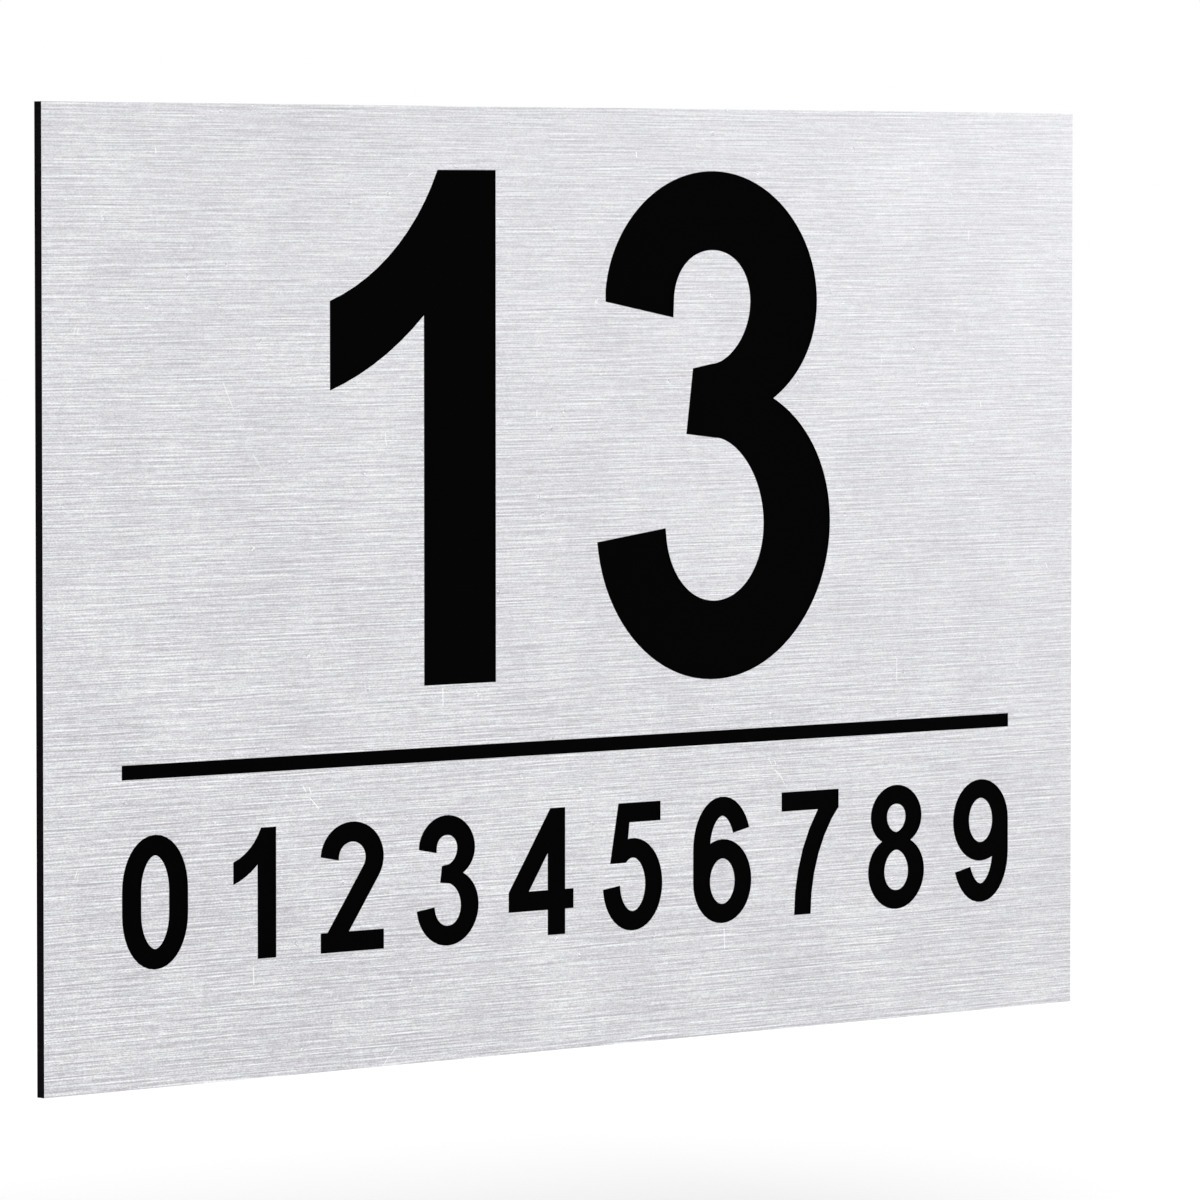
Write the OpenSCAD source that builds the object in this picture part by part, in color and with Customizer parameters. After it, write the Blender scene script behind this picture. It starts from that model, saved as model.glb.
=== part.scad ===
// House number plate: a thin brushed face bonded on a black sheet. The figures and the rule
// are cut through the face into the sheet, so that they show black.
// The front looks towards -Y, and the origin is the centre of the back.

/* [Plate] */
// Width of the plate
plate_w = 300; // [280:5:450]
// Height of the plate
plate_h = 200; // [190:5:300]
// Thickness of the black sheet
base_t = 2.2; // [1.2:0.1:4]
// Thickness of the brushed face
face_t = 0.05; // [0.05:0.05:0.3]
// Depth of the cut figures below the face, in the black sheet
pocket_d = 0.2; // [0.1:0.05:0.6]

/* [House number] */
// The number, of one, two or three figures
house_number = "13"; // [8, 13, 27, 46, 90, 115]
// Height of the figures
number_h = 107.7; // [80:0.1:115]
// Width of a round figure
number_w = 70.2; // [64:0.1:76]
// Width of the strokes where they run upright
number_stem = 20.4; // [14:0.1:22]
// Height of the strokes where they run level
number_bar = 17; // [12:0.1:18]
// Gap between two figures
number_gap = 29.3; // [8:0.1:32]
// Gap from the top edge of the plate down to the figures
top_margin = 13.3; // [8:0.1:20]

/* [Rule] */
// Length of the rule
rule_l = 259; // [200:1:264]
// Height of the rule
rule_t = 3; // [1:0.5:5]
// Gap from the foot of the figures down to the rule
rule_gap = 13; // [6:0.5:16]

/* [Row of digits] */
// The digits, spread along the rule
row_digits = "0123456789"; // [0123456789, 9876543210, 13579]
// Height of the digits
digit_h = 27; // [18:0.5:30]
// Width of a round digit
digit_w = 17.6; // [14:0.1:19]
// Width of the strokes where they run upright
digit_stem = 5.1; // [3:0.1:5.5]
// Height of the strokes where they run level
digit_bar = 4.2; // [2.5:0.1:4.6]
// Gap from the rule down to the digits
row_gap = 11.4; // [6:0.2:16]

/* [Hidden] */

// Facets of a full turn of the large and of the small figures
number_fn = 96;
digit_fn = 40;
// How far a cut runs past the surface that it opens
past = 1;

// Heights of the layout above the centre of the plate
number_z = plate_h / 2 - top_margin - number_h;
rule_z = number_z - rule_gap - rule_t;
row_z = rule_z - row_gap - digit_h;

// Shares of the height of a figure: how far round figures dip below the baseline,
// and where the waist of the 3 and the 8 lies
dip = 0.0175;
waist = 0.541;
// Shares of a level stroke that a bowl keeps where it joins the other at the waist,
// and by which the middles of the two stay apart there
join = 0.72;
apart = 0.11;
// Width of an upper bowl, as a share of the lower one's
upper_share = 0.87;
// Height of the long bends of the 0, the 6 and the 9, as a share of a figure's height
long_share = 0.34;
// Widths of the 1 and the 4, as shares of the width of a round figure
one_share = 0.664;
four_share = 1.07;
// A bowl that is open to the left: the angles between which its bend runs, the slants of
// the cuts that end its upper and lower stroke, and how far those lie below its middle,
// as a share of a figure's height
head_from = 174;
foot_to = -170;
head_cut = -10;
foot_cut = 7;
cut_drop = 0.015;

// Value of the digit at place i of a row of digits
function digit(digits, i) = ord(digits[i]) - ord("0");

// Width of figure d where a round figure is w wide
function figure_w(d, w) = w * (d == 1 ? one_share : d == 4 ? four_share : 1);

// Sum of a list of numbers
function sum(v, i = 0) = i < len(v) ? v[i] + sum(v, i + 1) : 0;

// Two points, multiplied or divided value by value
function by(p, q) = [p.x * q.x, p.y * q.y];
function over(p, q) = [p.x / q.x, p.y / q.y];

// Lower left and upper right corners of the box in which the middle of the strokes runs
function low(size, pen) = pen / 2 - [0, dip * size.y];
function high(size, pen) = size - pen / 2;

// From the middle of a stroke that runs along d to its right-hand edge, for an oval pen
function nib(d, pen) = let (n = [d.y, -d.x]) by(by(pen, pen), n) / norm(by(pen, n)) / 2;

// A bend of a stroke: points of the ellipse round c with radii r, from angle a to
// angle b, each with its nib. thin gives the share of the pen's height that is kept
// at the foot and at the head of the ellipse.
function bend(c, r, a, b, pen, thin = [1, 1]) =
    let (steps = ceil($fn * abs(b - a) / 360))
    [for (i = [0 : steps])
        let (
            t = a + (b - a) * i / steps,
            bar = pen.y * (thin[0] + (thin[1] - thin[0]) * (1 + sin(t)) / 2)
        )
        [c + by(r, [cos(t), sin(t)]), nib(sign(b - a) * by(r, [-sin(t), cos(t)]), [pen.x, bar])]];

// Angle at which a line from q touches the right-hand side of the ellipse round c
function touch(c, r, q) = let (u = over(q - c, r)) atan2(u.y, u.x) + acos(1 / norm(u));

// Centre of the circle of radius r whose lower right passes through p and then q
function arc_centre(p, q, r) =
    let (half = (q - p) / 2, across = [-half.y, half.x] / norm(half))
    p + half + across * sqrt(r ^ 2 - norm(half) ^ 2);

// The end of an upright stroke at p, cut off at an angle from level
function cut_end(p, angle, pen) = [p, [cos(angle), sin(angle)] * pen.x / 2];

// An open stroke along a path of points with nibs
module stroke(path) {
    last = len(path) - 1;
    polygon([
        for (s = path) s[0] + s[1],
        for (i = [last : -1 : 0]) path[i][0] - path[i][1]
    ]);
}

// A closed stroke along a path that runs anticlockwise
module loop(path) {
    difference() {
        polygon([for (s = path) s[0] + s[1]]);
        polygon([for (s = path) s[0] - s[1]]);
    }
}

// Two long bends with upright runs between them
module zero(size, pen) {
    a = low(size, pen);
    b = high(size, pen);
    r = [(b.x - a.x) / 2, long_share * size.y];
    mid_x = (a.x + b.x) / 2;
    loop(concat(
        bend([mid_x, b.y - r.y], r, 0, 180, pen),
        bend([mid_x, a.y + r.y], r, 180, 360, pen)
    ));
}

// An upright stem with a flag between two arcs at its upper left
module one(size, pen) {
    stem_x = size.x - pen.x;
    flag_foot = [0, 0.576 * size.y];
    flag_head = [0, 0.748 * size.y];
    corner = [stem_x, 0.718 * size.y];
    peak = [stem_x + 0.19 * pen.x, size.y];
    under_r = 0.675 * size.y;
    over_r = 0.474 * size.y;
    difference() {
        union() {
            translate([stem_x, 0]) square([pen.x, size.y]);
            intersection() {
                translate(flag_foot) square([size.x - pen.x / 2, size.y - flag_foot.y]);
                translate(arc_centre(flag_foot, corner, under_r)) circle(under_r);
            }
        }
        translate(arc_centre(flag_head, peak, over_r)) circle(over_r);
    }
}

// A bowl that runs off at a slant to a level foot
module two(size, pen) {
    a = low(size, pen);
    b = high(size, pen);
    r = [(b.x - a.x) / 2, 0.2 * size.y];
    c = [(a.x + b.x) / 2, b.y - r.y];
    foot = [a.x, pen.y / 4];
    end = touch(c, r, foot);
    leave = by(r, [sin(end), -cos(end)]);
    intersection() {
        union() {
            stroke(concat(
                [cut_end(c - [r.x, 0], head_cut, pen)],
                bend(c, r, head_from, end, pen),
                [[foot, nib(leave, pen)]]
            ));
            square([size.x, pen.y]);
        }
        square(size);
    }
}

// Radii and centres of the two bowls of the 3 and the 8
function low_bowl(a, b, mid_z, pen) =
    let (r = [b.x - a.x, mid_z - apart * pen.y - a.y] / 2) [a + r, r];
function top_bowl(a, b, mid_z, pen) =
    let (r = [upper_share * (b.x - a.x), b.y - mid_z - apart * pen.y] / 2)
    [[(a.x + b.x) / 2, b.y - r.y], r];

// Two bowls, open to the left, that share the bar at the waist
module three(size, pen) {
    a = low(size, pen);
    b = high(size, pen);
    top = top_bowl(a, b, waist * size.y, pen);
    under = low_bowl(a, b, waist * size.y, pen);
    top_c = top[0] - [0.008 * size.y, 0];
    drop = [0, cut_drop * size.y];
    // The spur at the waist ends in a slanting cut that both strokes share
    spur = [0.255 * size.y, waist * size.y];
    cut = [0.14, 1] * pen.y / 2;
    stroke(concat(
        [cut_end(top_c - [top[1].x, 0] - drop, head_cut, pen)],
        bend(top_c, top[1], head_from, -90, pen, [join, 1]),
        [[spur + apart * cut, join * cut]]
    ));
    stroke(concat(
        [[spur - apart * cut, -join * cut]],
        bend(under[0], under[1], 90, foot_to, pen, [1, join]),
        [cut_end(under[0] - [under[1].x, 0] - drop, foot_cut, pen)]
    ));
}

// A stem with a level bar and a slant that runs from the bar's end to the stem's top
module four(size, pen) {
    stem_x = 0.6 * size.x;
    bar_z = 0.2 * size.y;
    head = [0, bar_z + pen.y];
    peak = [stem_x + 0.15 * pen.x, size.y];
    slant = peak - head;
    rise = slant.y / slant.x;
    // Length of a level cut across the slanted stroke
    cut = norm(by(pen, [slant.y, slant.x])) / slant.y;
    difference() {
        polygon([
            [0, bar_z], head, peak, [stem_x + pen.x, size.y],
            [stem_x + pen.x, 0], [stem_x, 0], [stem_x, bar_z]
        ]);
        polygon([head + [cut, 0], [stem_x, head.y + rise * (stem_x - cut)], [stem_x, head.y]]);
    }
    translate([stem_x, bar_z]) square([size.x - stem_x, pen.y]);
}

// A level bar, a leaning upright and a bowl that is open to the left
module five(size, pen) {
    a = low(size, pen);
    b = high(size, pen);
    r = [(b.x - a.x) / 2, 0.29 * size.y];
    head_x = 0.26 * size.x;
    foot = [0.12 * size.x, 0.523 * size.y];
    bowl_from = 130;
    bowl = concat(
        bend(a + r, r, bowl_from, foot_to, pen),
        [cut_end([a.x, a.y + r.y - cut_drop * size.y], foot_cut, pen)]
    );
    polygon([[head_x, size.y], [head_x + 0.75 * pen.x, size.y], bowl[0][0] + bowl[0][1], foot]);
    translate([head_x, size.y - pen.y]) square([0.97 * size.x - head_x, pen.y]);
    stroke(bowl);
}

// A closed bowl under a long bend that ends open at the upper right
module six(size, pen) {
    a = low(size, pen);
    b = high(size, pen);
    bowl_r = [b.x - a.x, 0.58 * size.y - a.y] / 2;
    long_r = [bowl_r.x, long_share * size.y];
    long_from = 24;
    loop(bend(a + bowl_r, bowl_r, 0, 360, pen));
    stroke(concat(
        bend([a.x + long_r.x, b.y - long_r.y], long_r, long_from, 180, pen),
        [[[a.x, a.y + bowl_r.y], nib([0, -1], pen)]]
    ));
}

// A level bar and a leg that curves down to the left
module seven(size, pen) {
    // Angle on its ellipse at which the leg reaches the bar
    turn = 130;
    foot = [0.22 * size.x + pen.x / 2, 0];
    head = [size.x - 0.3 * pen.x, size.y - pen.y / 2];
    r = over(head - foot, [1 + cos(turn), sin(turn)]);
    intersection() {
        union() {
            stroke(bend(foot + [r.x, 0], r, turn, 180, pen));
            translate([0, size.y - pen.y]) square([size.x, pen.y]);
        }
        square(size);
    }
}

// Two closed bowls that share the bar at the waist
module eight(size, pen) {
    a = low(size, pen);
    b = high(size, pen);
    top = top_bowl(a, b, waist * size.y, pen);
    under = low_bowl(a, b, waist * size.y, pen);
    loop(bend(top[0], top[1], 0, 360, pen, [join, 1]));
    loop(bend(under[0], under[1], 0, 360, pen, [1, join]));
}

module nine(size, pen) {
    translate(size - [0, dip * size.y]) rotate(180) six(size, pen);
}

// Figure d with its lower left corner at the origin, where a round figure fills size
module figure(d, size, pen) {
    own = [figure_w(d, size.x), size.y];
    if (d == 0) zero(own, pen);
    if (d == 1) one(own, pen);
    if (d == 2) two(own, pen);
    if (d == 3) three(own, pen);
    if (d == 4) four(own, pen);
    if (d == 5) five(own, pen);
    if (d == 6) six(own, pen);
    if (d == 7) seven(own, pen);
    if (d == 8) eight(own, pen);
    if (d == 9) nine(own, pen);
}

// The house number, centred across the plate
module number() {
    size = [number_w, number_h];
    pen = [number_stem, number_bar];
    widths = [for (i = [0 : len(house_number) - 1]) figure_w(digit(house_number, i), number_w)];
    whole_w = sum(widths) + number_gap * (len(widths) - 1);
    for (i = [0 : len(widths) - 1]) {
        before = [for (k = [0 : i]) k < i ? widths[k] + number_gap : 0];
        translate([sum(before) - whole_w / 2, number_z])
            figure(digit(house_number, i), size, pen, $fn = number_fn);
    }
}

module rule() {
    translate([-rule_l / 2, rule_z]) square([rule_l, rule_t]);
}

// Digits in equal cells, from one end of the rule to the other
module digit_row() {
    size = [digit_w, digit_h];
    pen = [digit_stem, digit_bar];
    last = len(row_digits) - 1;
    pitch = (rule_l - digit_w) / last;
    for (i = [0 : last]) {
        d = digit(row_digits, i);
        x = i * pitch - (rule_l - digit_w) / 2 - figure_w(d, digit_w) / 2;
        translate([x, row_z]) figure(d, size, pen, $fn = digit_fn);
    }
}

// All that is cut through the face
module engraving() {
    number();
    rule();
    digit_row();
}

module blank() {
    square([plate_w, plate_h], center = true);
}

// Lays an outline upright, with its thickness from depth y forwards
module sheet(y, thickness) {
    translate([0, -y, 0]) rotate([90, 0, 0]) linear_extrude(thickness) children();
}

// The black sheet, with a shallow pocket under every cut in the face
module base_sheet() {
    color("#0f0d0f") difference() {
        sheet(0, base_t) blank();
        sheet(base_t - pocket_d, pocket_d + past) engraving();
    }
}

// The brushed face, with the figures cut through it
module face_layer() {
    color("#dedee2") sheet(base_t, face_t) difference() {
        blank();
        engraving();
    }
}

base_sheet();
face_layer();
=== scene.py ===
"""House number plate: a brushed silver face bonded on a black sheet, cut through to show the black.

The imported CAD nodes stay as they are, and this file dresses them. The frame looks towards -Y, X runs
level to the right, Z is up, and the origin is the middle of the back. Places and sizes are in metres,
apart from the marks and grains of a finish, which are in millimetres.
"""

import logging
import math
from dataclasses import dataclass, field
from enum import Enum

import bmesh
import bpy
from mathutils import Color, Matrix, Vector


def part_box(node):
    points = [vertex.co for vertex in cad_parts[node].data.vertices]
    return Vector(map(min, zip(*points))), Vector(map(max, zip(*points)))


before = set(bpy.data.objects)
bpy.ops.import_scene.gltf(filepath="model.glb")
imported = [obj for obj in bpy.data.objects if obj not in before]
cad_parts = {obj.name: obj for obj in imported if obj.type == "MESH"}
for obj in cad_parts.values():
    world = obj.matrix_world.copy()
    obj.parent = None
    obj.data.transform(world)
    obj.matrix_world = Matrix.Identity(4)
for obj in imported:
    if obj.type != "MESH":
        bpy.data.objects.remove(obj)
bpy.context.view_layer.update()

log = logging.getLogger("house_number_plate")

Colour = tuple[float, float, float, float]
Point = tuple[float, float, float]
Spot = tuple[float, float]
Socket = bpy.types.NodeSocket

MM = 0.001
SCREEN_WHITE = 255
WHITE: Colour = (1.0, 1.0, 1.0, 1.0)

# What a noise or a tone has in the mean
MIDDLE = 0.5

# How far the painted highlight side of a shaded line lies above its painted shade side
GROOVE_SHADE_STEP = 0.2 * MM

# How far a grain's seed moves its pattern along X, Y and Z
SEED_STEPS = (1, 2, 3)

# How squarely a surface faces along Y: up to the first it is all wall, from the second on all flat
ALL_WALL = 0.3
ALL_FLAT = 0.7


class Node(Enum):
    """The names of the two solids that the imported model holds."""

    BASE_SHEET = "base_sheet"
    FACE_LAYER = "face_layer"


class Along(Enum):
    """The parts of an object-space position that a pattern can follow."""

    X = "X"
    Y = "Y"
    Z = "Z"


def paint(red: float, green: float, blue: float) -> Colour:
    """Turns a colour as it is seen on a screen into the linear colour that a shader takes.

    Args:
        red: red, 0 to 255.
        green: green, 0 to 255.
        blue: blue, 0 to 255.

    Returns:
        The linear colour, with an alpha of 1.
    """
    seen = Color([level / SCREEN_WHITE for level in (red, green, blue)])
    return (*seen.from_srgb_to_scene_linear(), 1.0)


def on_face(spot: Spot) -> Vector:
    """Turns X and Z in mm into a vector in metres."""
    return Vector((spot[0], 0.0, spot[1])) * MM


@dataclass(frozen=True)
class Grain:
    """One width of line or speck in a surface, as a soft noise stretched to that size.

    Attributes:
        length: the size of a mark along X, in mm.
        width: the size of a mark along Z, in mm.
        weight: how much it adds to the pattern.
        seed: moves the pattern, so that no two grains line up.
        depth: the size of a mark along Y, in mm.
        painted_groove_shade: how much of it comes off again one step lower, which paints
        shade on one side of a line and a highlight on the other, as light falls across grooves.
    """

    length: float
    width: float
    weight: float
    seed: float
    depth: float = 20.0
    painted_groove_shade: float = 0.0


@dataclass(frozen=True)
class Pits:
    """Small spots, scattered over a face, where its grit is coarser.

    Attributes:
        pitch: how far apart they are in space, in mm.
        radius: how far one reaches, in mm.
        core: the share of the radius where the grit is coarsest.
        growth: how much stronger the grit is there.
    """

    pitch: float = 7.4
    radius: float = 0.8
    core: float = 0.4
    growth: float = 3.0


@dataclass(frozen=True)
class Scratch:
    """A short straight rub on the face.

    Attributes:
        start: X and Z of its first end, in mm.
        end: X and Z of its last end, in mm.
        half_width: half its width, in mm.
        strength: how light it is, 0 to 1.
        core: the share of its half width that is lightest.
    """

    start: Spot
    end: Spot
    half_width: float
    strength: float
    core: float = 0.3


def scratches(*marks: tuple[float, float, float, float, float], half_width: float) -> tuple[Scratch, ...]:
    """Lists scratches of one width.

    Args:
        *marks: for each scratch, X and Z of its first end, X and Z of its last end, all in mm,
            and its strength.
        half_width: half their width, in mm.

    Returns:
        The scratches.
    """
    return tuple(
        Scratch((start_x, start_z), (end_x, end_z), half_width, strength)
        for start_x, start_z, end_x, end_z, strength in marks
    )


class NodeBoard:
    """A node tree, with short calls for the nodes that this picture uses."""

    def __init__(self, owner: bpy.types.Material | bpy.types.World) -> None:
        """Empties the tree of a material or of the world.

        Args:
            owner: what the tree belongs to.
        """
        owner.use_nodes = True
        self.nodes = owner.node_tree.nodes
        self.links = owner.node_tree.links
        self.nodes.clear()

    def add(self, kind: str, **settings: object) -> bpy.types.Node:
        """Adds a node.

        Args:
            kind: the node's type name.
            **settings: properties to set on it.

        Returns:
            The new node.
        """
        node = self.nodes.new(kind)
        for name, value in settings.items():
            setattr(node, name, value)
        return node

    def feed(self, socket: Socket, value: object) -> None:
        """Gives an input a link or a value.

        Args:
            socket: the input.
            value: an output to link, or a value to set.
        """
        if isinstance(value, bpy.types.NodeSocket):
            self.links.new(value, socket)
        else:
            socket.default_value = value

    def math(self, operation: str, *values: object, clamp: bool = False) -> Socket:
        """Adds a Math node.

        Args:
            operation: its operation.
            *values: its inputs, each an output or a number.
            clamp: whether the result is kept within 0 and 1.

        Returns:
            Its result.
        """
        node = self.add("ShaderNodeMath", operation=operation, use_clamp=clamp)
        for socket, value in zip(node.inputs, values):
            self.feed(socket, value)
        return node.outputs[0]

    def vector(self, operation: str, *values: object) -> bpy.types.Node:
        """Adds a Vector Math node.

        Args:
            operation: its operation.
            *values: its vector inputs, each an output or three numbers.

        Returns:
            The node, which has a vector and a value output.
        """
        node = self.add("ShaderNodeVectorMath", operation=operation)
        for socket, value in zip(node.inputs, values):
            self.feed(socket, value)
        return node

    def part(self, vector: Socket, along: Along) -> Socket:
        """Takes one number out of a vector.

        Args:
            vector: the vector.
            along: which of its three numbers.

        Returns:
            That number.
        """
        node = self.add("ShaderNodeSeparateXYZ")
        self.feed(node.inputs[0], vector)
        return node.outputs[along.value]

    def fade(self, value: Socket, low: float, high: float) -> Socket:
        """Turns a value into a smooth share of the way from one level to another.

        Args:
            value: the value.
            low: the level that gives 0.
            high: the level that gives 1, which may be under low.

        Returns:
            The share, 0 to 1.
        """
        node = self.add("ShaderNodeMapRange", interpolation_type="SMOOTHSTEP")
        for name, number in (("Value", value), ("From Min", low), ("From Max", high)):
            self.feed(node.inputs[name], number)
        return node.outputs["Result"]

    def mix(self, share: object, first: object, second: object, blend: str = "MIX") -> Socket:
        """Blends two colours.

        Args:
            share: how much of the second colour.
            first: the first colour.
            second: the second colour.
            blend: how they are blended.

        Returns:
            The blend.
        """
        node = self.add("ShaderNodeMix", data_type="RGBA", blend_type=blend)
        for name, value in (("Factor_Float", share), ("A_Color", first), ("B_Color", second)):
            socket = next(item for item in node.inputs if item.identifier == name)
            self.feed(socket, value)
        return next(item for item in node.outputs if item.identifier == "Result_Color")

    def meets_white(self) -> Socket:
        """Tells whether a ray is one that should meet the white background.

        Returns:
            1 for camera, glossy and transmission rays, 0 for the rest.
        """
        ray = self.add("ShaderNodeLightPath").outputs
        bounced = self.math("MAXIMUM", ray["Is Glossy Ray"], ray["Is Transmission Ray"])
        return self.math("MAXIMUM", ray["Is Camera Ray"], bounced)

    def close(self, shader: bpy.types.Node, output: str) -> None:
        """Ends the tree in its output.

        Args:
            shader: the last shader.
            output: the output node's type name.
        """
        self.feed(self.add(output).inputs["Surface"], shader.outputs[0])


class FinishBoard(NodeBoard):
    """The node tree of one material, with the patterns that a finish is made of."""

    def __init__(self, name: str) -> None:
        """Starts an empty material.

        Args:
            name: the material's name.
        """
        self.material = bpy.data.materials.new(name)
        super().__init__(self.material)
        coordinates = self.add("ShaderNodeTexCoord")
        self.place: Socket = coordinates.outputs["Object"]
        self.facing: Socket = coordinates.outputs["Normal"]

    def noise(self, grain: Grain, place: Socket) -> Socket:
        """Adds one grain of a surface as a soft noise.

        Args:
            grain: its size and seed.
            place: the position that it follows.

        Returns:
            The noise, about 0.5 in the mean.
        """
        stretch = self.add("ShaderNodeMapping")
        self.feed(stretch.inputs["Vector"], place)
        sizes = (grain.length, grain.depth, grain.width)
        self.feed(stretch.inputs["Scale"], tuple(1 / (size * MM) for size in sizes))
        self.feed(stretch.inputs["Location"], tuple(step * grain.seed for step in SEED_STEPS))
        texture = self.add("ShaderNodeTexNoise")
        self.feed(texture.inputs["Vector"], stretch.outputs["Vector"])
        self.feed(texture.inputs["Scale"], 1.0)
        self.feed(texture.inputs["Detail"], 0.0)
        return texture.outputs["Fac"]

    def weave(self, grains: tuple[Grain, ...], place: Socket, mean: float = MIDDLE) -> Socket:
        """Adds several grains together, each by its weight.

        Args:
            grains: the grains.
            place: the position that they follow.
            mean: about what the sum has in the mean.

        Returns:
            Their sum.
        """
        total: object = mean - MIDDLE * sum(grain.weight - grain.painted_groove_shade for grain in grains)
        for grain in grains:
            total = self.math("MULTIPLY_ADD", self.noise(grain, place), grain.weight, total)
            # Painted shade and highlight: an offset copy is taken off, so each line looks lit on one side
            # and shaded on the other
            if grain.painted_groove_shade:
                lower = self.vector("ADD", place, (0.0, 0.0, GROOVE_SHADE_STEP)).outputs[0]
                total = self.math("MULTIPLY_ADD", self.noise(grain, lower), -grain.painted_groove_shade, total)
        return total

    def satin(self, tone: Socket, roughness: float, swing: float) -> Socket:
        """Lets the roughness follow a tone.

        Args:
            tone: the tone, about 0.5 in the mean.
            roughness: the roughness in the mean.
            swing: how much rougher a tone of 1 is than a tone of 0.

        Returns:
            The roughness.
        """
        return self.math("MULTIPLY_ADD", tone, swing, roughness - MIDDLE * swing)

    def relief(self, height: Socket, depth: float, strength: float) -> Socket:
        """Adds a Bump node.

        Args:
            height: the height, 0 to 1.
            depth: what a height of 1 stands for, in mm.
            strength: how much of it is felt, 0 to 1.

        Returns:
            The bumped normal.
        """
        node = self.add("ShaderNodeBump")
        for name, value in (("Height", height), ("Distance", depth * MM), ("Strength", strength)):
            self.feed(node.inputs[name], value)
        return node.outputs["Normal"]

    def surface(self, **inputs: object) -> bpy.types.Material:
        """Adds the Principled shader and the output.

        Args:
            **inputs: the shader's inputs, with _ for a space, each an output or a value.

        Returns:
            The finished material.
        """
        shader = self.add("ShaderNodeBsdfPrincipled")
        for name, value in inputs.items():
            self.feed(shader.inputs[name.replace("_", " ")], value)
        self.close(shader, "ShaderNodeOutputMaterial")
        return self.material


# Upright ticks, then short slanting scratches, then faint hairlines
TICKS = scratches(
    (-41.6, -21.8, -41.5, -25.4, 0.85),
    (93.9, -20.4, 94.0, -25.7, 0.6),
    (-94.3, -77.1, -94.2, -80.6, 0.85),
    (40.8, -77.1, 40.9, -81.4, 0.8),
    half_width=0.2,
)
SLANTS = scratches(
    (-80.6, -40.5, -79.9, -41.6, 1.0),
    (-78.9, -40.9, -78.5, -41.8, 1.0),
    (-78.7, -43.0, -76.3, -45.2, 1.0),
    (54.4, -40.9, 55.1, -42.0, 0.8),
    (56.1, -41.3, 56.5, -42.2, 0.8),
    (56.3, -43.4, 58.7, -45.6, 0.8),
    half_width=0.17,
)
HAIRLINES = scratches(
    (-120.1, 90.8, -120.0, 89.8, 1.0),
    (14.4, 90.7, 14.5, 89.6, 1.0),
    (-14.6, 36.0, -14.6, 34.8, 1.0),
    (120.5, 35.8, 120.5, 34.6, 0.8),
    (116.6, 73.7, 116.5, 71.9, 0.6),
    (88.9, 46.6, 89.1, 44.8, 0.6),
    (101.2, -7.0, 100.8, -10.4, 0.45),
    (141.5, -0.7, 142.1, -1.8, 0.75),
    (-57.7, 32.0, -57.4, 29.5, 0.7),
    (-102.2, 43.1, -99.4, 37.6, 0.6),
    (-94.0, 28.1, -91.9, 25.4, 0.55),
    (-141.7, 53.7, -141.2, 54.8, 0.75),
    (-140.9, 53.5, -140.4, 54.6, 0.75),
    (-125.7, -31.3, -125.0, -30.4, 0.7),
    (-141.9, -56.1, -141.4, -55.0, 0.75),
    (-141.2, -56.3, -140.8, -55.2, 0.75),
    (-56.2, -97.6, -54.9, -96.2, 0.75),
    (-58.5, -99.9, -57.1, -98.2, 0.75),
    half_width=0.17,
)


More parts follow.
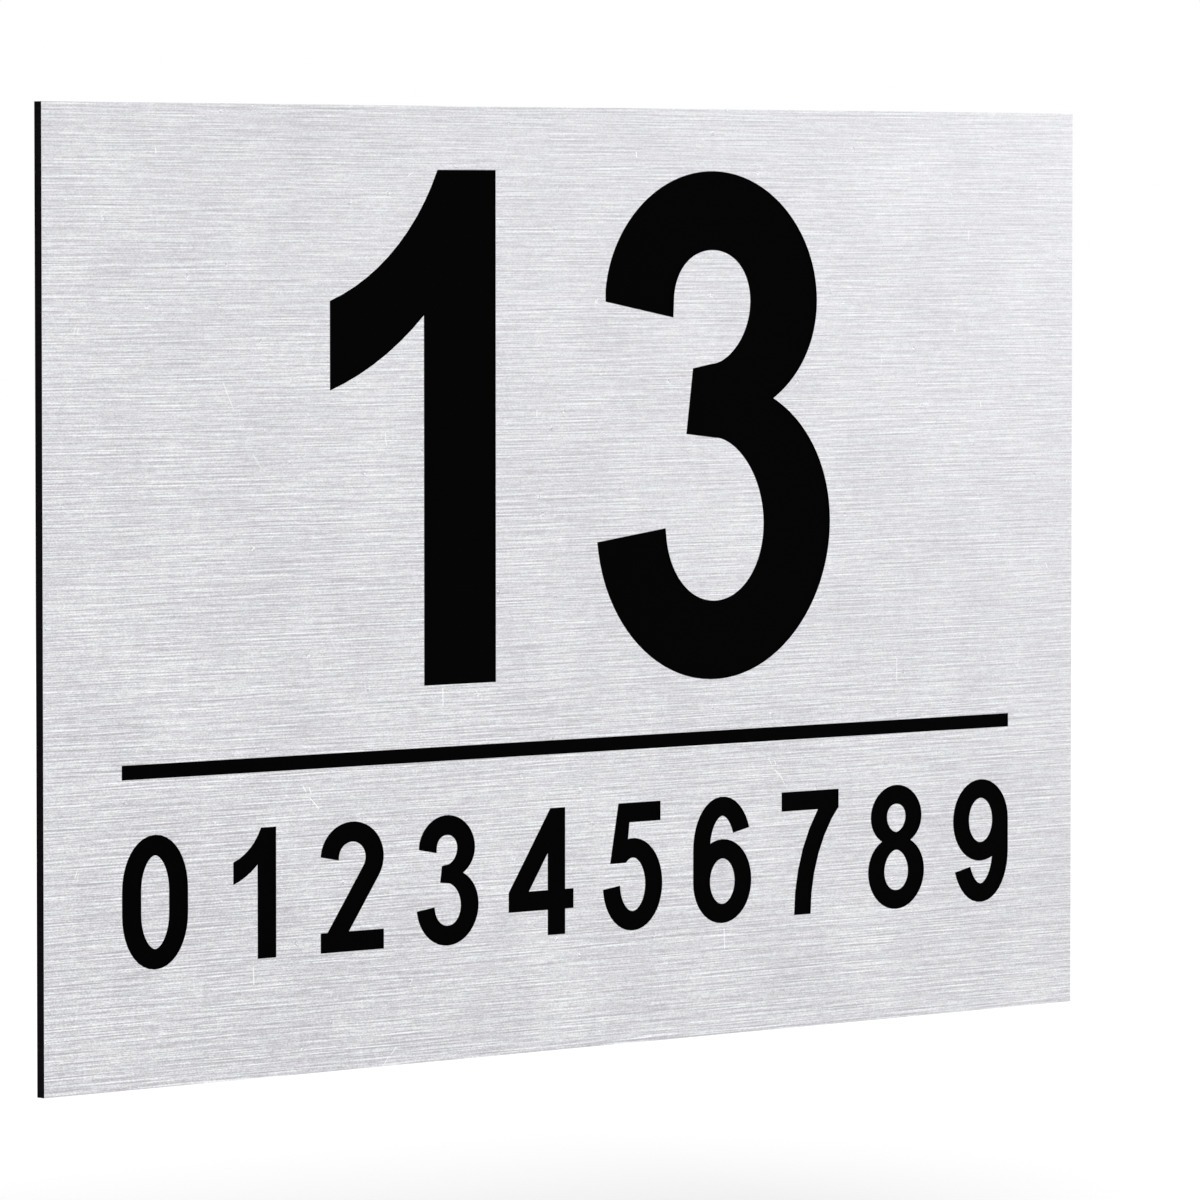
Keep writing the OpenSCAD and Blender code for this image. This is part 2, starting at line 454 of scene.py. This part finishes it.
@dataclass(frozen=True)
class BrushedSilver:
    """Silver metal, brushed level, with soft streaks from violet grey to a cool white.

    Attributes:
        dark: the colour of the darkest streaks.
        light: the colour of the lightest streaks.
        curve: how much more the light lines stand out than the dark ones, 1 for the same.
        bare: the colour of a scratch, and of the bright wall of a cut.
        roughness: how satin the metal is.
        gloss: how much rougher the lightest lines are than the darkest.
        stretch: how far the brushing draws out the gloss across its lines, 0 to 1.
        streaks: the brushed lines, from the finest to the widest.
        grit: the fine specks between the lines.
        pits: the spots where the grit is coarser.
        wander: the slow wave of the lines, whose weight is its height in mm.
        tint: the soft patches of violet and blue-green grey, whose weight is their strength.
        tint_ends: the levels of that grain that are all violet and all blue-green.
        violet: the first of those two tints.
        teal: the second.
        press: how strong the lines are in the middle of the plate.
        sheen_wash_right: how much fainter they are at the right-hand end, a painted wash where the sheen
            falls brightest.
        sheen_wash_top: how much fainter they are at the top, the same painted wash of the sheen.
        ridges: the lines that stand up as relief.
        ridge_depth: how high they stand, in mm.
        ridge_strength: how much of that is felt, 0 to 1.
        rubs: the scratches on the face.
    """

    dark: Colour = paint(181, 178, 183.5)
    light: Colour = paint(246.5, 249, 249.5)
    curve: float = 1.26
    bare: Colour = paint(248, 250, 251)
    roughness: float = 0.36
    gloss: float = -0.12
    stretch: float = 0.4
    streaks: tuple[Grain, ...] = (
        Grain(13.0, 0.14, 0.58, 1.7),
        # Its offset copy paints shade and highlight along the lines
        Grain(14.0, 0.32, 0.88, 5.3, painted_groove_shade=0.69),
        Grain(3.0, 0.80, 0.32, 9.1),
        Grain(13.0, 14.0, 0.17, 19.8),
    )
    grit: Grain = Grain(0.45, 0.20, 0.68, 23.6, 0.3)
    pits: Pits = Pits()
    wander: Grain = Grain(60.0, 12.0, 0.25, 31.4)
    tint: Grain = Grain(7.0, 2.0, 0.12, 41.2)
    tint_ends: tuple[float, float] = (0.3, 0.7)
    violet: Colour = (1.0, 0.93, 1.0, 1.0)
    teal: Colour = (0.93, 1.0, 1.0, 1.0)
    press: float = 0.91
    # Painted light: the streaks fade towards the right and the top, where the sheen falls brightest
    sheen_wash_right: float = 0.15
    sheen_wash_top: float = 0.19
    ridges: Grain = Grain(14.0, 0.32, 1.0, 5.3)
    ridge_depth: float = 0.01
    ridge_strength: float = 0.25
    rubs: tuple[Scratch, ...] = TICKS + SLANTS + HAIRLINES

    def scratched(self, board: FinishBoard) -> Socket:
        """Draws the scratches.

        Args:
            board: the material's board.

        Returns:
            How much scratch there is, 0 to 1.
        """
        total: object = 0.0
        flat = board.vector("MULTIPLY", board.place, (1.0, 0.0, 1.0)).outputs[0]
        for rub in self.rubs:
            start = on_face(rub.start)
            run = on_face(rub.end) - start
            pace = run / run.length_squared
            reach = board.vector("DOT_PRODUCT", flat, tuple(pace)).outputs["Value"]
            share = board.math("SUBTRACT", reach, start.dot(pace), clamp=True)
            foot = board.vector("MULTIPLY_ADD", share, tuple(run), tuple(start)).outputs[0]
            away = board.vector("DISTANCE", flat, foot).outputs["Value"]
            half = rub.half_width * MM
            mask = board.fade(away, half, rub.core * half)
            total = board.math("MULTIPLY_ADD", mask, rub.strength, total, clamp=True)
        return total

    def pitted(self, board: FinishBoard) -> Socket:
        """Scatters the pits.

        Args:
            board: the material's board.

        Returns:
            The strength of the grit, 1 away from the pits.
        """
        cells = board.add("ShaderNodeTexVoronoi")
        board.feed(cells.inputs["Vector"], board.place)
        board.feed(cells.inputs["Scale"], 1 / (self.pits.pitch * MM))
        reach = self.pits.radius / self.pits.pitch
        mask = board.fade(cells.outputs["Distance"], reach, self.pits.core * reach)
        return board.math("MULTIPLY_ADD", mask, self.pits.growth, 1.0)

    def bent(self, board: FinishBoard) -> Socket:
        """Waves the position a little, so that the lines wander as brushed ones do.

        Args:
            board: the material's board.

        Returns:
            The position that the lines follow.
        """
        wave = board.math("SUBTRACT", board.noise(self.wander, board.place), MIDDLE)
        shift = board.add("ShaderNodeCombineXYZ")
        board.feed(shift.inputs["Z"], board.math("MULTIPLY", wave, self.wander.weight * MM))
        return board.vector("ADD", board.place, shift.outputs[0]).outputs[0]

    def brushed(self, board: FinishBoard, bent: Socket) -> Socket:
        """Lays the brushed lines and the grit between them.

        Args:
            board: the material's board.
            bent: the position that the lines follow.

        Returns:
            The tone, from 0 for the darkest lines to 1 for the lightest.
        """
        lines = board.weave(self.streaks, bent, 0.0)
        specks = board.weave((self.grit,), board.place, 0.0)
        swing = board.math("MULTIPLY_ADD", specks, self.pitted(board), lines)
        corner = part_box(Node.FACE_LAYER.value)[1]
        # Painted light: the lines grow fainter towards the right and the top, standing in for the sheen
        # washing them out there
        sheen_washing = {Along.X: self.sheen_wash_right / corner.x, Along.Z: self.sheen_wash_top / corner.z}
        press: object = self.press
        for along, calm in sheen_washing.items():
            press = board.math("MULTIPLY_ADD", board.part(board.place, along), -calm, press)
        return board.math("MULTIPLY_ADD", swing, press, MIDDLE, clamp=True)

    def coloured(self, board: FinishBoard, tone: Socket) -> Socket:
        """Colours the metal, its scratches and the walls of its cuts.

        Args:
            board: the material's board.
            tone: the tone of the brushed lines.

        Returns:
            The colour.
        """
        metal = board.mix(board.math("POWER", tone, self.curve), self.dark, self.light)
        patches = board.fade(board.noise(self.tint, board.place), *self.tint_ends)
        patch = board.mix(patches, self.violet, self.teal)
        tinted = board.mix(self.tint.weight, metal, patch, "MULTIPLY")
        facing = board.math("ABSOLUTE", board.part(board.facing, Along.Y))
        wall = board.fade(facing, ALL_FLAT, ALL_WALL)
        return board.mix(board.math("MAXIMUM", self.scratched(board), wall), tinted, self.bare)

    def brushing(self, board: FinishBoard) -> Socket:
        """Gives the direction of brushing, level along X."""
        level = board.add("ShaderNodeCombineXYZ")
        board.feed(level.inputs["X"], 1.0)
        return level.outputs[0]

    def material(self) -> bpy.types.Material:
        """Builds the finish.

        Returns:
            The material.
        """
        board = FinishBoard("brushed_silver")
        bent = self.bent(board)
        tone = self.brushed(board, bent)
        ridges = board.noise(self.ridges, bent)
        return board.surface(
            Base_Color=self.coloured(board, tone),
            Metallic=1.0,
            Roughness=board.satin(tone, self.roughness, self.gloss),
            Anisotropic=self.stretch,
            Tangent=self.brushing(board),
            Normal=board.relief(ridges, self.ridge_depth, self.ridge_strength),
        )


@dataclass(frozen=True)
class BlackPlastic:
    """Solid black plastic: a matt sheet, sawn edges and engraved floors.

    Attributes:
        floor: the colour at the bottom of a cut.
        sawn_dark: the colour of a sawn edge in the blade's marks.
        sawn_light: its colour between them.
        skin_dark: the colour of the back in the hollows of its grain.
        skin_light: its colour on the grain's tops.
        roughness: how matt it is.
        gloss: how much rougher the grain's tops are than its hollows.
        shine: how much it mirrors, where 0.5 is common plastic.
        specks: the fine grain of the sheet.
        clouds: the slow change over the back.
        blade: the fine marks that a blade left across an edge.
        grain_depth: how high the grain stands, in mm.
        grain_strength: how much of that is felt, 0 to 1.
    """

    floor: Colour = paint(2, 2, 2)
    sawn_dark: Colour = paint(6, 4, 6)
    sawn_light: Colour = paint(20, 18, 20)
    skin_dark: Colour = paint(14, 13, 15)
    skin_light: Colour = paint(34, 33, 36)
    roughness: float = 0.58
    gloss: float = 0.12
    shine: float = 0.008
    specks: Grain = Grain(0.45, 0.45, 1.2, 3.3, 0.45)
    clouds: Grain = Grain(40.0, 30.0, 0.5, 7.7, 30.0)
    blade: Grain = Grain(0.30, 0.30, 1.0, 11.9, 8.0)
    grain_depth: float = 0.03
    grain_strength: float = 0.3

    def material(self) -> bpy.types.Material:
        """Builds the finish.

        Returns:
            The material.
        """
        board = FinishBoard("matt_black_plastic")
        facing = board.part(board.facing, Along.Y)
        on_front = board.fade(facing, -ALL_WALL, -ALL_FLAT)
        on_back = board.fade(facing, ALL_WALL, ALL_FLAT)
        grain = board.weave((self.specks, self.clouds), board.place)
        marks = board.weave((self.blade,), board.place)
        skin = board.mix(grain, self.skin_dark, self.skin_light)
        sawn = board.mix(marks, self.sawn_dark, self.sawn_light)
        return board.surface(
            Base_Color=board.mix(on_back, board.mix(on_front, sawn, self.floor), skin),
            Roughness=board.satin(grain, self.roughness, self.gloss),
            Specular_IOR_Level=self.shine,
            Normal=board.relief(grain, self.grain_depth, self.grain_strength),
        )


@dataclass
class Layer:
    """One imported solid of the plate, with its finish.

    Attributes:
        node: which solid it is.
        finish: what it is made of.
    """

    node: Node
    finish: BrushedSilver | BlackPlastic

    def dress(self) -> bpy.types.Object:
        """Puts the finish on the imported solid.

        Returns:
            The solid's object.
        """
        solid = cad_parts[self.node.value]
        solid.data.materials.clear()
        solid.data.materials.append(self.finish.material())
        return solid


@dataclass
class BaseSheet(Layer):
    """The black sheet that carries the face and shows at every cut and edge."""

    node: Node = Node.BASE_SHEET
    finish: BlackPlastic = field(default_factory=BlackPlastic)


@dataclass
class FaceLayer(Layer):
    """The thin silver face with every figure cut through it."""

    node: Node = Node.FACE_LAYER
    finish: BrushedSilver = field(default_factory=BrushedSilver)


@dataclass(frozen=True)
class Lamp:
    """A soft square lamp that points at the plate.

    Attributes:
        name: its name.
        place: where it hangs.
        width: the side of its square.
        power: its power in watts.
    """

    name: str
    place: Point
    width: float
    power: float

    def hang(self) -> None:
        """Hangs the lamp, out of the camera's sight."""
        data = bpy.data.lights.new(self.name, "AREA")
        data.shape = "SQUARE"
        data.size = self.width
        data.energy = self.power
        lamp = bpy.data.objects.new(self.name, data)
        lamp.location = self.place
        lamp.rotation_mode = "QUATERNION"
        lamp.rotation_quaternion = Vector(self.place).to_track_quat("Z", "Y")
        lamp.visible_camera = False
        bpy.context.scene.collection.objects.link(lamp)
        log.info("%s, %.2f W", self.name, self.power)


@dataclass(frozen=True)
class Studio:
    """A plain pale floor under a white sky, with soft lamps.

    Attributes:
        floor_z: the height of the floor.
        floor_radius: how far it reaches.
        floor_sides: how many sides its disc has.
        floor_colour: its colour.
        lift_near: how much light of its own it shows by the plate, where 1 is white.
        lift_far: the same far away.
        lift_ends: how far out the first ends and the second begins.
        sky_light: the strength of the sky as a light.
        lamps: the lamps.
    """

    floor_z: float = -0.165
    floor_radius: float = 9.0
    floor_sides: int = 96
    floor_colour: Colour = paint(236, 236, 236)
    lift_near: float = 0.18
    lift_far: float = 0.50
    lift_ends: tuple[float, float] = (0.3, 3.0)
    sky_light: float = 0.62
    lamps: tuple[Lamp, ...] = (
        Lamp("key_lamp", (-1.1, -1.5, 1.5), 1.2, 22.0),
        Lamp("sheen_lamp", (1.75, -0.74, 0.2), 0.4, 1.95),
        Lamp("back_lamp", (0.8, 1.9, 1.5), 1.2, 22.0),
    )

    def floor_finish(self) -> bpy.types.Material:
        """Makes the floor's finish, matt with a lift that lights nothing else.

        Returns:
            The material.
        """
        board = FinishBoard("pale_floor")
        matt = board.add("ShaderNodeBsdfDiffuse")
        board.feed(matt.inputs["Color"], self.floor_colour)
        distance = board.vector("LENGTH", board.place).outputs["Value"]
        far = board.fade(distance, *self.lift_ends)
        lift = board.math("MULTIPLY_ADD", far, self.lift_far - self.lift_near, self.lift_near)
        glow = board.add("ShaderNodeEmission")
        board.feed(glow.inputs["Strength"], board.math("MULTIPLY", board.meets_white(), lift))
        both = board.add("ShaderNodeAddShader")
        for socket, shader in zip(both.inputs, (matt, glow)):
            board.feed(socket, shader.outputs[0])
        board.close(both, "ShaderNodeOutputMaterial")
        return board.material

    def build_floor(self) -> None:
        """Lays the floor, which keeps the plate's shadow."""
        mesh = bpy.data.meshes.new("floor")
        disc = bmesh.new()
        bmesh.ops.create_circle(disc, cap_ends=True, segments=self.floor_sides, radius=self.floor_radius)
        bmesh.ops.translate(disc, verts=disc.verts, vec=(0.0, 0.0, self.floor_z))
        disc.to_mesh(mesh)
        disc.free()
        mesh.materials.append(self.floor_finish())
        floor = bpy.data.objects.new("floor", mesh)
        bpy.context.scene.collection.objects.link(floor)
        log.info("floor at z %.3f m", self.floor_z)

    def build_sky(self) -> None:
        """Makes the white surroundings."""
        world = bpy.data.worlds.new("white_studio")
        board = NodeBoard(world)
        strength = board.math("MULTIPLY_ADD", board.meets_white(), 1.0 - self.sky_light, self.sky_light)
        background = board.add("ShaderNodeBackground")
        board.feed(background.inputs["Color"], WHITE)
        board.feed(background.inputs["Strength"], strength)
        board.close(background, "ShaderNodeOutputWorld")
        bpy.context.scene.world = world
        log.info("white sky, %.2f as a light", self.sky_light)

    def build(self) -> None:
        """Builds the floor, the sky and the lamps."""
        self.build_floor()
        self.build_sky()
        for lamp in self.lamps:
            lamp.hang()


@dataclass(frozen=True)
class PictureCamera:
    """The camera that sees the plate as the picture does.

    Attributes:
        place: where it stands.
        azimuth: how far it turns from looking along Y, in degrees to the left.
        elevation: how far it looks down, in degrees.
        lens: its focal length in mm.
        sensor: the width of its sensor in mm.
        near: where it begins to see.
        far: where it stops.
    """

    place: Point = (-1.21201, -1.28515, 0.0775)
    azimuth: float = -43.461
    elevation: float = 2.662
    lens: float = 249.12
    sensor: float = 36.0
    near: float = 0.05
    far: float = 100.0

    def build(self) -> None:
        """Sets up the camera and makes it the scene's own."""
        data = bpy.data.cameras.new("picture_camera")
        data.lens = self.lens
        data.sensor_width = self.sensor
        data.clip_start = self.near
        data.clip_end = self.far
        camera = bpy.data.objects.new("picture_camera", data)
        camera.location = self.place
        tilt = math.pi / 2 - math.radians(self.elevation)
        camera.rotation_euler = (tilt, 0.0, math.radians(self.azimuth))
        bpy.context.scene.collection.objects.link(camera)
        bpy.context.scene.camera = camera
        log.info("camera, %.0f mm lens", self.lens)


def main() -> None:
    """Builds the picture: camera, studio and the two dressed layers."""
    logging.basicConfig(level=logging.INFO, format="%(name)s: %(message)s")
    bpy.context.scene.view_settings.view_transform = "Standard"
    PictureCamera().build()
    Studio().build()
    for layer in (BaseSheet(), FaceLayer()):
        piece = layer.dress()
        log.info("%s: %s", piece.name, piece.data.materials[0].name)


if __name__ == "__main__":
    main()
